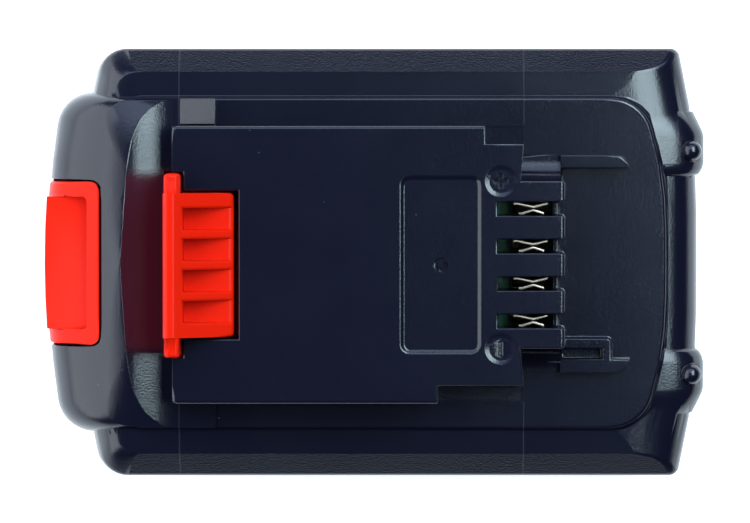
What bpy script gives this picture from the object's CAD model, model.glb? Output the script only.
"""Slide-on battery pack for a cordless tool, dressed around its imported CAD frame."""

import math

import bmesh
import bpy
from mathutils import Matrix, Vector
from mathutils.bvhtree import BVHTree


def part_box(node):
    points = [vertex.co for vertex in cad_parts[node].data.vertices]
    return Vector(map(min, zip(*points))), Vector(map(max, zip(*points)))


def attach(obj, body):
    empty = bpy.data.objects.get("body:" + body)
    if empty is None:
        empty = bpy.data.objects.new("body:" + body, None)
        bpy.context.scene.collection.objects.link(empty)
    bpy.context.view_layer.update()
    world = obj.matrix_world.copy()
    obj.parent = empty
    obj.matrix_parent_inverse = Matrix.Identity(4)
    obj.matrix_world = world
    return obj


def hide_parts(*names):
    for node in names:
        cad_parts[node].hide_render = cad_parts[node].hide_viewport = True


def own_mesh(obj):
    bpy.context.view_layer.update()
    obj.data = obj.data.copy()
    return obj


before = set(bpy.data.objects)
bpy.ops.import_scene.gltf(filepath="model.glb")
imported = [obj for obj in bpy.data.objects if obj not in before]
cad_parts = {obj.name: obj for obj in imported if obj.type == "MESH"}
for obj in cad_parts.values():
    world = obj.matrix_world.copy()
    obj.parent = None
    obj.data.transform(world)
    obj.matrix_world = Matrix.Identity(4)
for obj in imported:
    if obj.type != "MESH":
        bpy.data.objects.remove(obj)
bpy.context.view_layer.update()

# Lower case
# The tub that holds the cells, injection moulded in black ABS against a spark-eroded mould.
# Four screws from below draw the top cover down onto it.
MM = 0.001


def ink(code):
    """An sRGB hex colour as the linear colour that a socket takes."""
    parts = [int(code[i : i + 2], 16) / 255 for i in (1, 3, 5)]
    return [c / 12.92 if c <= 0.04045 else ((c + 0.055) / 1.055) ** 2.4 for c in parts] + [1]


def add(tree, kind, links=(), **settings):
    """Adds one node. A setting goes to the input of its name or else to the property.
    A link joins a socket to an input, and a plain number in its place is set on the input."""
    made = tree.nodes.new(kind)
    for name, value in settings.items():
        label = name.replace("_", " ")
        if label in made.inputs:
            made.inputs[label].default_value = value
        else:
            setattr(made, name, value)
    for source, target in links:
        if isinstance(source, bpy.types.NodeSocket):
            tree.links.new(source, made.inputs[target])
        else:
            made.inputs[target].default_value = source
    return made


def finish(name, **settings):
    """A material with one Principled shader, whose plain numbers are set on its own sockets."""
    made = bpy.data.materials.new(name)
    made.use_nodes = True
    shader = made.node_tree.nodes["Principled BSDF"]
    for key, value in settings.items():
        shader.inputs[key.replace("_", " ")].default_value = value
    return made, made.node_tree, shader


def dress(piece, material):
    """Gives a piece one material all over."""
    if not piece.material_slots:
        piece.data.materials.append(material)
    for slot in piece.material_slots:
        slot.material = material


def outside(edge, tree):
    """True where an edge lies on the outside: nothing of the piece stands in front of it."""
    normal = sum((f.normal for f in edge.link_faces), Vector())
    if normal.length < 1e-6:
        return False
    normal.normalize()
    middle = (edge.verts[0].co + edge.verts[1].co) / 2
    return tree.ray_cast(middle + normal * 0.06 * MM, normal, 18 * MM)[0] is None


def fit_widths(bm, width):
    """Narrows each rounding until it fits on the faces beside it."""
    for _ in range(24):
        tight = set()
        for face in bm.faces:
            for loop in face.loops:
                before, after = loop.link_loop_prev, loop.link_loop_next
                used = 0
                for side, corner in ((before.edge, loop), (after.edge, after)):
                    angle = corner.calc_angle()
                    slope = math.sin(angle if corner.is_convex else 2 * math.pi - angle)
                    if abs(slope) > 0.05 and side in width:
                        used += (width[side] + width.get(loop.edge, 0) * math.cos(angle)) / slope
                if used > 0.9 * loop.edge.calc_length():
                    tight.update((loop.edge, before.edge, after.edge))
        tight = [e for e in tight if e in width]
        if not tight:
            return
        for edge in tight:
            width[edge] *= 0.8
            if width[edge] < 0.03 * MM:
                del width[edge]


def with_round_edges(piece, bm, width, segments):
    """The piece's mesh with each edge rounded to its own width."""
    weight = bm.edges.layers.float["bevel_weight_edge"]
    widest = max(width.values())
    for edge in bm.edges:
        edge[weight] = width.get(edge, 0) / widest
    bm.to_mesh(piece.data)
    rounding = piece.modifiers.new("rounded edges", "BEVEL")
    rounding.limit_method = "WEIGHT"
    rounding.width = widest
    rounding.segments = segments
    rounding.use_clamp_overlap = False
    depsgraph = bpy.context.evaluated_depsgraph_get()
    settled = bpy.data.meshes.new_from_object(piece.evaluated_get(depsgraph))
    piece.modifiers.clear()
    return settled


def spoiled_places(settled, tree):
    """Where a rounding folded over itself: faces turned away from the surface they lie on."""
    places = []
    for face in settled.polygons:
        if face.area > (0.01 * MM) ** 2:
            _, normal, _, gap = tree.find_nearest(face.center)
            if face.normal.dot(normal) < -0.05 or gap > 0.4 * MM:
                places.append(face.center.copy())
    settled.calc_loop_triangles()
    for part in settled.loop_triangles:
        if part.area > (0.5 * MM) ** 2 and part.normal.dot(settled.polygons[part.polygon_index].normal) < 0:
            places.extend(settled.vertices[i].co.copy() for i in part.vertices)
    return places


def keep_flats_flat(settled):
    """Shades the long facets, 2 to 8 mm wide, as the flat faces that they are."""
    bm = bmesh.new()
    bm.from_mesh(settled)
    for face in bm.faces:
        way_round = face.calc_perimeter()
        if way_round > 150 * MM and 2 * MM < 2 * face.calc_area() / way_round < 8 * MM:
            face.smooth = False
    bm.to_mesh(settled)
    bm.free()


def off_edge(edge, place):
    """How far a place lies from an edge."""
    start, run = edge.verts[0].co, edge.verts[1].co - edge.verts[0].co
    share = min(max((place - start).dot(run) / run.length_squared, 0), 1)
    return (place - start - run * share).length


def rounded(node, name, body, width_at, segments=3, crowded=None):
    """A copy of a CAD piece with its edges rounded, as a moulded or stamped piece has them.
    width_at takes an edge's middle in mm, its turn in degrees, which is below 0 in a hollow corner,
    its run, and a call that tells whether it lies outside. crowded takes a corner in mm, and is
    true where corners closer than 0.35 mm are drawn into one before the rounding."""
    piece = bpy.data.objects.new(name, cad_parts[node].data.copy())
    bpy.context.collection.objects.link(piece)
    bm = bmesh.new()
    bm.from_mesh(piece.data)
    bmesh.ops.remove_doubles(bm, verts=bm.verts, dist=0.04 * MM)
    bmesh.ops.dissolve_degenerate(bm, dist=0.01 * MM, edges=bm.edges)
    bmesh.ops.dissolve_limit(bm, angle_limit=math.radians(0.6), verts=bm.verts, edges=bm.edges)
    if crowded:
        close = [v for v in bm.verts if crowded(v.co / MM)]
        bmesh.ops.remove_doubles(bm, verts=close, dist=0.35 * MM)
    bmesh.ops.recalc_face_normals(bm, faces=bm.faces)
    tree = BVHTree.FromBMesh(bm)
    bm.edges.layers.float.new("bevel_weight_edge")
    width = {}
    for edge in bm.edges:
        if len(edge.link_faces) == 2:
            a, b = (v.co for v in edge.verts)
            turn = math.degrees(edge.calc_face_angle_signed())
            wanted = width_at((a + b) / 2 / MM, turn, (b - a).normalized(), lambda: outside(edge, tree))
            if wanted:
                width[edge] = wanted * MM
    fit_widths(bm, width)
    for _ in range(6):
        settled = with_round_edges(piece, bm, width, segments)
        spoiled = spoiled_places(settled, tree)
        if not spoiled:
            break
        for edge in list(width):
            if any(off_edge(edge, place) < 0.7 * MM for place in spoiled):
                width[edge] *= 0.5
                if width[edge] < 0.03 * MM:
                    del width[edge]
    bm.free()
    piece.data = settled
    settled.name = name
    settled.shade_smooth()
    settled.set_sharp_from_angle(angle=math.radians(38))
    keep_flats_flat(settled)
    even = piece.modifiers.new("even shading", "WEIGHTED_NORMAL")
    even.keep_sharp = True
    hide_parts(node)
    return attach(piece, body)


def grained_abs(name, deep, worn, rough, grain_mm=0.3, grain_deep_mm=0.024, **settings):
    """Moulded ABS: the mould's fine grain breaks up each highlight, and handling has
    polished it unevenly. Grain is drawn at about twice its real 0.15 mm so that it shows."""
    made, tree, shader = finish(name, IOR=1.5, **settings)
    place = add(tree, "ShaderNodeTexCoord").outputs["Object"]
    grain = add(tree, "ShaderNodeTexNoise", [(place, "Vector")], Scale=1 / (grain_mm * MM), Detail=2)
    cloud = add(tree, "ShaderNodeTexNoise", [(place, "Vector")], Scale=1 / (14 * MM), Detail=4)
    tone = add(
        tree, "ShaderNodeMix", [(cloud.outputs["Fac"], 0), (ink(deep), 6), (ink(worn), 7)], data_type="RGBA"
    )
    sheen = add(
        tree,
        "ShaderNodeMapRange",
        [(cloud.outputs["Fac"], "Value")],
        To_Min=rough - 0.03,
        To_Max=rough + 0.03,
    )
    pits = add(
        tree, "ShaderNodeBump", [(grain.outputs["Fac"], "Height")], Strength=1, Distance=grain_deep_mm * MM
    )
    tree.links.new(tone.outputs[2], shader.inputs["Base Color"])
    tree.links.new(sheen.outputs["Result"], shader.inputs["Roughness"])
    tree.links.new(pits.outputs["Normal"], shader.inputs["Normal"])
    return made


def tub_width(p, turn, run, out):
    return 0.3 if abs(turn) > 26 and out() else 0


lower_case = rounded("bottom_case", "lower_case", "case", tub_width)
dress(lower_case, grained_abs("black grained ABS", "#0c0d1b", "#0f101f", rough=0.17))

# Cells
# Five steel cans drawn from nickel-plated strip, each in a shrunk green PVC film, with a
# card washer round its positive cap.
def streaked_metal(name, colour, rough, along_mm, across_mm, axis):
    """Metal with fine lines left by drawing or rolling, which run along one axis."""
    made, tree, shader = finish(name, Metallic=1)
    shader.inputs["Base Color"].default_value = ink(colour)
    place = add(tree, "ShaderNodeTexCoord").outputs["Object"]
    stretch = [1 / (across_mm * MM)] * 3
    stretch[axis] = 1 / (along_mm * MM)
    laid = add(tree, "ShaderNodeMapping", [(place, "Vector")], Scale=stretch)
    lines = add(tree, "ShaderNodeTexNoise", [(laid.outputs["Vector"], "Vector")], Scale=1, Detail=3)
    sheen = add(
        tree,
        "ShaderNodeMapRange",
        [(lines.outputs["Fac"], "Value")],
        To_Min=rough - 0.08,
        To_Max=rough + 0.08,
    )
    scored = add(tree, "ShaderNodeBump", [(lines.outputs["Fac"], "Height")], Strength=0.3, Distance=0.01 * MM)
    tree.links.new(sheen.outputs["Result"], shader.inputs["Roughness"])
    tree.links.new(scored.outputs["Normal"], shader.inputs["Normal"])
    return made


can_steel = streaked_metal("drawn nickel-plated steel", "#bfc0c4", 0.28, along_mm=12, across_mm=0.2, axis=1)
for i in range(1, 6):
    dress(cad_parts[f"cell_{i}"], can_steel)


def mottled(name, colours, rough, fleck_mm, deep_mm, **settings):
    """A surface with soft flecks of two close colours that also stand a little in relief."""
    made, tree, shader = finish(name, Roughness=rough, **settings)
    place = add(tree, "ShaderNodeTexCoord").outputs["Object"]
    fleck = add(tree, "ShaderNodeTexNoise", [(place, "Vector")], Scale=1 / (fleck_mm * MM), Detail=4)
    first, second = (ink(c) for c in colours)
    tone = add(tree, "ShaderNodeMix", [(fleck.outputs["Fac"], 0), (first, 6), (second, 7)], data_type="RGBA")
    relief = add(
        tree, "ShaderNodeBump", [(fleck.outputs["Fac"], "Height")], Strength=0.6, Distance=deep_mm * MM
    )
    tree.links.new(tone.outputs[2], shader.inputs["Base Color"])
    tree.links.new(relief.outputs["Normal"], shader.inputs["Normal"])
    return made


wrap_film = mottled("shrunk PVC film", ("#147260", "#1a8570"), 0.24, fleck_mm=6, deep_mm=0.05)
dress(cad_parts["cell_wraps"], wrap_film)
washer_card = mottled("pressed card", ("#e9e3d2", "#d8d0bb"), 0.85, fleck_mm=0.6, deep_mm=0.03)
dress(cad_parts["cell_washers"], washer_card)

# Cell frames
# Two grey moulded frames slide over the cell ends. Their posts carry the board.
frame_grey = grained_abs("grey moulded ABS", "#3a3d40", "#45484b", rough=0.45)
for side in ("left", "right"):
    dress(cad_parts[f"cell_frame_{side}"], frame_grey)

# Nickel links
# Strips punched from rolled nickel, spot welded to the cell ends in series, with a tab each
# folded up onto the board.
nickel = streaked_metal("rolled nickel strip", "#c4bfb2", 0.36, along_mm=9, across_mm=0.15, axis=0)
links = [f"series_link_{i}" for i in range(1, 5)]
for name in links + ["negative_strip", "positive_strip"]:
    dress(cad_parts[name], nickel)

# Insulating sheets
# Grey-buff insulating paper, die cut and stuck over the links on both sides.
insulating_paper = mottled("insulating paper", ("#c6bd97", "#b3aa86"), 0.8, fleck_mm=0.8, deep_mm=0.03)
for side in ("left", "right"):
    dress(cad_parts[f"insulator_{side}"], insulating_paper)

# Circuit board
# Glass-epoxy board under green solder mask, which shows the copper beneath as paler areas.
# It is screwed to the posts of the frames.
mask_green, tree, shader = finish("green solder mask", Roughness=0.32, IOR=1.5)
place = add(tree, "ShaderNodeTexCoord").outputs["Object"]
areas = add(
    tree,
    "ShaderNodeTexVoronoi",
    [(place, "Vector")],
    distance="CHEBYCHEV",
    Scale=1 / (5 * MM),
    Randomness=0.8,
)
copper = add(tree, "ShaderNodeMath", [(areas.outputs["Distance"], 0), (0.42, 1)], operation="LESS_THAN")
tone = add(
    tree,
    "ShaderNodeMix",
    [(copper.outputs["Value"], 0), (ink("#0f7348"), 6), (ink("#1b9662"), 7)],
    data_type="RGBA",
)
edge_of_copper = add(
    tree, "ShaderNodeBump", [(copper.outputs["Value"], "Height")], Strength=0.5, Distance=0.035 * MM
)
tree.links.new(tone.outputs[2], shader.inputs["Base Color"])
tree.links.new(edge_of_copper.outputs["Normal"], shader.inputs["Normal"])
dress(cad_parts["circuit_board"], mask_green)

# Parts on the board
# Moulded chips with tinned legs, fired resistors with tinned ends, a dipped bead on two
# wires, and zinc-plated screws through the board.
def part_tinned(name, colours, tinned):
    """A moulded part whose legs or ends are tinned. tinned takes the tree and the place, and
    gives the socket that is 1 on the metal."""
    made, tree, shader = finish(name, IOR=1.5)
    place = add(tree, "ShaderNodeTexCoord").outputs["Object"]
    fleck = add(tree, "ShaderNodeTexNoise", [(place, "Vector")], Scale=1 / (0.5 * MM), Detail=3)
    first, second = (ink(c) for c in colours)
    tone = add(tree, "ShaderNodeMix", [(fleck.outputs["Fac"], 0), (first, 6), (second, 7)], data_type="RGBA")
    metal = tinned(tree, add(tree, "ShaderNodeSeparateXYZ", [(place, "Vector")]).outputs)
    colour = add(
        tree, "ShaderNodeMix", [(metal, 0), (tone.outputs[2], 6), (ink("#c9c9c6"), 7)], data_type="RGBA"
    )
    sheen = add(tree, "ShaderNodeMapRange", [(metal, "Value")], To_Min=0.58, To_Max=0.3)
    tree.links.new(colour.outputs[2], shader.inputs["Base Color"])
    tree.links.new(metal, shader.inputs["Metallic"])
    tree.links.new(sheen.outputs["Result"], shader.inputs["Roughness"])
    return made


def clear_of(node, half_length):
    """Metal beyond the moulded body of a chip: further than half its length from the middle in X."""
    low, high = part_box(node)

    def legs(tree, place):
        off = add(tree, "ShaderNodeMath", [(place["X"], 0), ((low.x + high.x) / 2, 1)], operation="SUBTRACT")
        far = add(tree, "ShaderNodeMath", [(off.outputs["Value"], 0)], operation="ABSOLUTE")
        return add(
            tree, "ShaderNodeMath", [(far.outputs["Value"], 0), (half_length, 1)], operation="GREATER_THAN"
        ).outputs["Value"]

    return legs


chip_epoxy = ("#1b1b1d", "#232325")
dress(
    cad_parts["control_chip"],
    part_tinned("moulded chip", chip_epoxy, clear_of("control_chip", 2.02 * MM)),
)
dress(
    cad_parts["power_transistors"],
    part_tinned("moulded transistor", chip_epoxy, clear_of("power_transistors", 3.7 * MM)),
)


def resistor_ends(tree, place):
    """The tinned ends of resistors 1.6 mm long that stand every 2.2 mm."""
    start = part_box("chip_resistors")[0].x
    off = add(tree, "ShaderNodeMath", [(place["X"], 0), (start, 1)], operation="SUBTRACT")
    along = add(tree, "ShaderNodeMath", [(off.outputs["Value"], 0), (2.2 * MM, 1)], operation="MODULO")
    body = add(
        tree,
        "ShaderNodeMath",
        [(along.outputs["Value"], 0), (0.8 * MM, 1), (0.5 * MM, 2)],
        operation="COMPARE",
    )
    ends = add(tree, "ShaderNodeMath", [(1.0, 0), (body.outputs["Value"], 1)], operation="SUBTRACT")
    return ends.outputs["Value"]


def bead_wires(tree, place):
    """The tinned wires above a bead 2.6 mm across."""
    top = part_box("thermistor")[0].z + 2.5 * MM
    return add(tree, "ShaderNodeMath", [(place["Z"], 0), (top, 1)], operation="GREATER_THAN").outputs["Value"]


dress(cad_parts["chip_resistors"], part_tinned("fired resistor", ("#2f2a23", "#3a342b"), resistor_ends))
dress(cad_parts["thermistor"], part_tinned("dipped epoxy bead", ("#4d3f1c", "#5b4b22"), bead_wires))
zinc = streaked_metal("zinc-plated steel", "#a9abad", 0.34, along_mm=0.6, across_mm=0.3, axis=2)
dress(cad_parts["board_screws"], zinc)

# Contact clips
# Pairs of sprung leaves stamped from tin-plated bronze. They stand in the board and grip the
# tool's blades between them, so each is wiped brighter along its length.
clip_bronze = streaked_metal("tin-plated bronze", "#dccbb6", 0.3, along_mm=3, across_mm=0.12, axis=0)

# Flux has darkened the feet, up to half of the height. The blades keep the leaves above clean
tree = clip_bronze.node_tree
low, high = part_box("contact_clip_1")
place = add(tree, "ShaderNodeTexCoord").outputs["Object"]
height = add(tree, "ShaderNodeSeparateXYZ", [(place, "Vector")]).outputs["Z"]
wiped = add(
    tree,
    "ShaderNodeMapRange",
    [(height, "Value")],
    From_Min=low.z + 0.5 * (high.z - low.z),
    From_Max=low.z + 0.8 * (high.z - low.z),
)
tone = add(
    tree,
    "ShaderNodeMix",
    [(wiped.outputs["Result"], 0), (ink("#3a322a"), 6), (ink("#dccbb6"), 7)],
    data_type="RGBA",
)
tree.links.new(tone.outputs[2], tree.nodes["Principled BSDF"].inputs["Base Color"])


def clip_width(p, turn, run, out):
    return 0.09 if abs(turn) > 40 else 0


for i in range(1, 5):
    clip = rounded(f"contact_clip_{i}", f"sprung_contact_{i}", "case", clip_width, segments=2)
    dress(clip, clip_bronze)

# Latch springs
# Two springs coiled from drawn steel wire, with closed end turns. They stand on pins of the
# lower case and lift the latch.
def coil_spring(x, y, low, high, across, wire, turns):
    """One wire as a tube wound along Z, its first and last turn closed."""
    steps, sides = 36, 10
    radius = (across - wire) / 2
    rise = (high - low - 3 * wire) / (turns - 2)
    rings = []
    bm = bmesh.new()
    for i in range(turns * steps + 1):
        turn = i / steps
        lift = wire * min(turn, 1) + rise * min(max(turn - 1, 0), turns - 2) + wire * max(turn - turns + 1, 0)
        middle = Vector((x, y, low + wire / 2 + lift))
        out = Vector((math.cos(2 * math.pi * turn), math.sin(2 * math.pi * turn), 0))
        ring = []
        for k in range(sides):
            b = 2 * math.pi * k / sides
            up = Vector((0, 0, wire / 2 * math.sin(b)))
            ring.append(bm.verts.new(middle + out * (radius + wire / 2 * math.cos(b)) + up))
        rings.append(ring)
    for first, second in zip(rings, rings[1:]):
        for k in range(sides):
            bm.faces.new((first[k], first[(k + 1) % sides], second[(k + 1) % sides], second[k]))
    bm.faces.new(rings[0][::-1])
    bm.faces.new(rings[-1])
    bmesh.ops.recalc_face_normals(bm, faces=bm.faces)
    return bm


low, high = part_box("latch_springs")
spring_across, wire = 5 * MM, 0.6 * MM
spring_mesh = bpy.data.meshes.new("spring_coils")
both = bmesh.new()
for y in (low.y + spring_across / 2, high.y - spring_across / 2):
    one = coil_spring((low.x + high.x) / 2, y, low.z, high.z, spring_across, wire, turns=9)
    one.to_mesh(spring_mesh)
    one.free()
    both.from_mesh(spring_mesh)
both.to_mesh(spring_mesh)
both.free()
spring_mesh.shade_smooth()
springs = bpy.data.objects.new("spring_coils", spring_mesh)
bpy.context.collection.objects.link(springs)
dress(springs, streaked_metal("drawn spring wire", "#b3b4b8", 0.3, along_mm=0.4, across_mm=0.2, axis=2))
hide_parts("latch_springs")
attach(springs, "case")
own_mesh(springs)

# Latch
# Catch bar, ribbed ramp and release button in one piece of red ABS, moulded smoother than the
# case. The springs lift it, and the thumb presses the button's dish down.
def latch_width(p, turn, run, out):
    if turn < 26 or p.z < 23:
        return 0
    return 0.6 if out() else 0.2


latch = rounded("latch", "release_latch", "latch", latch_width)
pocket_floor = 40.2 * MM
for face in latch.data.polygons:
    if face.normal.z > 0.99 and abs(face.center.z - pocket_floor) < 0.1 * MM and face.area > 10 * MM * MM:
        face.use_smooth = False  # the flat floor of a pocket between two ribs
red_abs = grained_abs(
    "red satin ABS", "#dc1a06", "#e11f08", rough=0.3, grain_deep_mm=0.012, Specular_IOR_Level=0.09
)
dress(latch, red_abs)


# Top cover
# The moulded lid with the rail deck, the contact comb and the nose that carries the button.
# Two thin lines cross its flanks where the mould's slides met.
def cover_width(p, turn, run, out):
    aside = abs(p.y)
    # the foot of the nose's side stays sharp
    if p.x < -46 and 27 < aside < 28.2 and 25 < p.z < 29:
        return 0
    # rail stops
    if -35.5 < p.x < -27.5 and 24.4 < aside < 29.6:
        return 0.15 if turn > 20 else 0
    turn = abs(turn)
    # long edges of the flanks
    if abs(run.x) > 0.95 and aside > 30 and turn > 9 and p.z > 24:
        return 0.9 if aside > 36 else 0.08
    # the two discs with the signs
    if math.hypot(p.x - 22, aside - 14.65) < 3.1 and p.z > 40.3 and turn > 8:
        return 0.06
    # crest of the nose
    if -46 < p.x < -36 and p.z > 32.32 and turn > 12:
        return 0.18
    if turn < 26 or (p.z < 30.3 and not out()):
        return 0
    # guide ribs, of which the right one carries the key block
    if 33.5 < p.x and 16.6 < aside < 19.4 and p.z > 34 and abs(run.x) > 0.3:
        return 0.5 if p.y > 0 else 0.25
    # sides and front of the deck
    if p.z > 40.8 and (aside > 23.3 or p.x < -35.2):
        return 0.6
    # teeth of the comb
    if p.z > 40.8 and p.x > 22 and aside < 12.6 and abs(run.x) > 0.9:
        return 0.15
    # rim of the dock
    if 30.5 < p.z < 32.4 and turn > 40 and (aside > 28.6 or p.x > 44.5):
        return 0.45
    return 0.3


def crest_or_rim(p):
    """The nose's crest, and the bends of the dock's rim up to the rear pillars."""
    if -45.2 < p.x < -39.5:
        return 32.4 < p.z < 34.6
    return 40 < p.x < 54 and 14 < abs(p.y) < 31 and p.z > 29


cover = rounded("top_cover", "top_cover_moulding", "case", cover_width, crowded=crest_or_rim)
for face in cover.data.polygons:
    spot = face.center / MM
    if -34.4 < spot.x < -28.1 and abs(spot.y) > 24.6 and face.normal.x < -0.25 and face.area > 10 * MM * MM:
        face.use_smooth = False  # the slope of a rail stop, flat down to its foot
cover_abs = grained_abs("black grained ABS of the cover", "#0c0d1b", "#0f101f", rough=0.17)
dress(cover, cover_abs)
tree = cover_abs.node_tree
shader = tree.nodes["Principled BSDF"]
place = add(tree, "ShaderNodeTexCoord").outputs["Object"]
spot = add(tree, "ShaderNodeSeparateXYZ", [(place, "Vector")]).outputs
slide_lines = []
for x in (-34.6, 26.3):
    near = add(tree, "ShaderNodeMath", [(spot["X"], 0), (x * MM, 1), (0.1 * MM, 2)], operation="COMPARE")
    slide_lines.append(near.outputs["Value"])
either = add(tree, "ShaderNodeMath", [(slide_lines[0], 0), (slide_lines[1], 1)], operation="MAXIMUM")
aside = add(tree, "ShaderNodeMath", [(spot["Y"], 0)], operation="ABSOLUTE")
wide = add(tree, "ShaderNodeMath", [(aside.outputs["Value"], 0), (24.4 * MM, 1)], operation="GREATER_THAN")
low_down = add(tree, "ShaderNodeMath", [(spot["Z"], 0), (32.4 * MM, 1)], operation="LESS_THAN")
there = add(
    tree, "ShaderNodeMath", [(wide.outputs["Value"], 0), (low_down.outputs["Value"], 1)], operation="MULTIPLY"
)
witness = add(
    tree, "ShaderNodeMath", [(either.outputs["Value"], 0), (there.outputs["Value"], 1)], operation="MULTIPLY"
)
bead = add(tree, "ShaderNodeBump", [(witness.outputs["Value"], "Height")], Strength=1, Distance=0.03 * MM)
grain_bump = shader.inputs["Normal"].links[0].from_node
tree.links.new(bead.outputs["Normal"], grain_bump.inputs["Normal"])

# Specks of pale dust about 0.25 mm across, one in most cells of 5 mm, as they settle on black ABS
specks = add(tree, "ShaderNodeTexVoronoi", [(place, "Vector")], Scale=1 / (5 * MM))
small = add(tree, "ShaderNodeMath", [(specks.outputs["Distance"], 0), (0.026, 1)], operation="LESS_THAN")
pale = add(tree, "ShaderNodeMath", [(small.outputs["Value"], 0), (0.3, 1)], operation="MULTIPLY")
lines = add(tree, "ShaderNodeMath", [(witness.outputs["Value"], 0), (0.1, 1)], operation="MULTIPLY")
lifted = add(
    tree, "ShaderNodeMath", [(pale.outputs["Value"], 0), (lines.outputs["Value"], 1)], operation="MAXIMUM"
)
clean = shader.inputs["Base Color"].links[0].from_socket
dusty = add(
    tree, "ShaderNodeMix", [(lifted.outputs["Value"], 0), (clean, 6), (ink("#666a76"), 7)], data_type="RGBA"
)
tree.links.new(dusty.outputs[2], shader.inputs["Base Color"])

# Case screws
# Pan-head screws with a cross recess, blackened steel, sunk in the four corners from below.
def screw_width(p, turn, run, out):
    return 0.12 if abs(turn) > 40 and p.z < 5.6 else 0


screws = rounded("case_screws", "case_screw_set", "case", screw_width, segments=2)
dress(screws, streaked_metal("blackened steel", "#3a3a3d", 0.38, along_mm=0.6, across_mm=0.3, axis=2))

# Studio
# A pale laminate table, lit by soft boxes at the left, the upper left, the right and the back,
# in a dim room. The camera looks down on it.
bpy.ops.mesh.primitive_plane_add(size=4)
table = bpy.context.object
table.name = "pale_table"
laminate = mottled(
    "pale laminate",
    ("#f3f4f6", "#f6f7f8"),
    0.75,
    fleck_mm=2,
    deep_mm=0.01,
    Emission_Color=ink("#ffffff"),
)
dress(table, laminate)

# The lightest part of the table is a pool of light, whose middle lies behind the pack
pool_radius, pool_back = 0.9, 0.35
tree = laminate.node_tree
place = add(tree, "ShaderNodeTexCoord").outputs["Object"]
laid = add(
    tree,
    "ShaderNodeMapping",
    [(place, "Vector")],
    Location=(0, -pool_back / pool_radius, 0),
    Scale=[1 / pool_radius] * 3,
)
pool = add(tree, "ShaderNodeTexGradient", [(laid.outputs["Vector"], "Vector")], gradient_type="SPHERICAL")
glow = add(tree, "ShaderNodeMath", [(pool.outputs["Fac"], 0), (1.2, 1)], operation="MULTIPLY")
shader = tree.nodes["Principled BSDF"]
tree.links.new(glow.outputs["Value"], shader.inputs["Emission Strength"])
near = add(tree, "ShaderNodeMath", [(pool.outputs["Fac"], 0), (1.7, 1)], operation="MULTIPLY", use_clamp=True)
pale = shader.inputs["Base Color"].links[0].from_socket
dimmer = add(
    tree, "ShaderNodeMix", [(near.outputs["Value"], 0), (ink("#8f949b"), 6), (pale, 7)], data_type="RGBA"
)
tree.links.new(dimmer.outputs[2], shader.inputs["Base Color"])


def soft_box(name, place, shines, width_along, size, radiance, colour="#ffffff"):
    """A flat lamp of even brightness. Its power is worked out from its radiance and area."""
    lamp = bpy.data.lights.new(name, "AREA")
    lamp.shape = "RECTANGLE"
    lamp.size, lamp.size_y = size
    lamp.energy = radiance * math.pi * size[0] * size[1]
    lamp.color = ink(colour)[:3]
    made = bpy.data.objects.new(name, lamp)
    bpy.context.collection.objects.link(made)
    back = -Vector(shines).normalized()
    wide = Vector(width_along)
    wide = (wide - back * wide.dot(back)).normalized()
    turned = Matrix((wide, back.cross(wide), back)).transposed()
    made.matrix_world = Matrix.Translation(place) @ turned.to_4x4()


soft_box("left soft box", (-1.0, 0.1, 0.65), (1, 0, 0), (0, 1, 0), (2.0, 1.26), 3.2, "#eef6ff")
soft_box("right soft box", (0.42, 0.45, 1.0), (-0.39, 0, -0.92), (0, 1, 0), (1.0, 0.41), 11.5, "#dcf7ff")
soft_box("upper left soft box", (-1.0, 0.1, 1.52), (1, 0, -1), (0, 1, 0), (2.0, 0.5), 1.6, "#eef6ff")
soft_box("back soft box", (0.1, 0.8, 0.88), (0, -1, -1), (1, 0, 0), (1.6, 1.05), 2.5, "#cadfff")

world = bpy.data.worlds.new("dim room")
world.use_nodes = True
world.node_tree.nodes["Background"].inputs["Color"].default_value = ink("#26292e")
bpy.context.scene.world = world
bpy.context.scene.view_settings.view_transform = "Standard"

# The camera's view is 133.8 mm wide at its distance of 850 mm, which is taken 23 mm above the table
distance_mm, view_mm, towards_back = 850, 133.8, 0.029
camera = bpy.data.objects.new("camera", bpy.data.cameras.new("camera"))
bpy.context.collection.objects.link(camera)
camera.location = (0, towards_back, 0.873)
camera.rotation_euler = (-math.atan(towards_back / (distance_mm * MM)), 0, 0)
camera.data.sensor_width = 36
camera.data.lens = camera.data.sensor_width * distance_mm / view_mm
bpy.context.scene.camera = camera
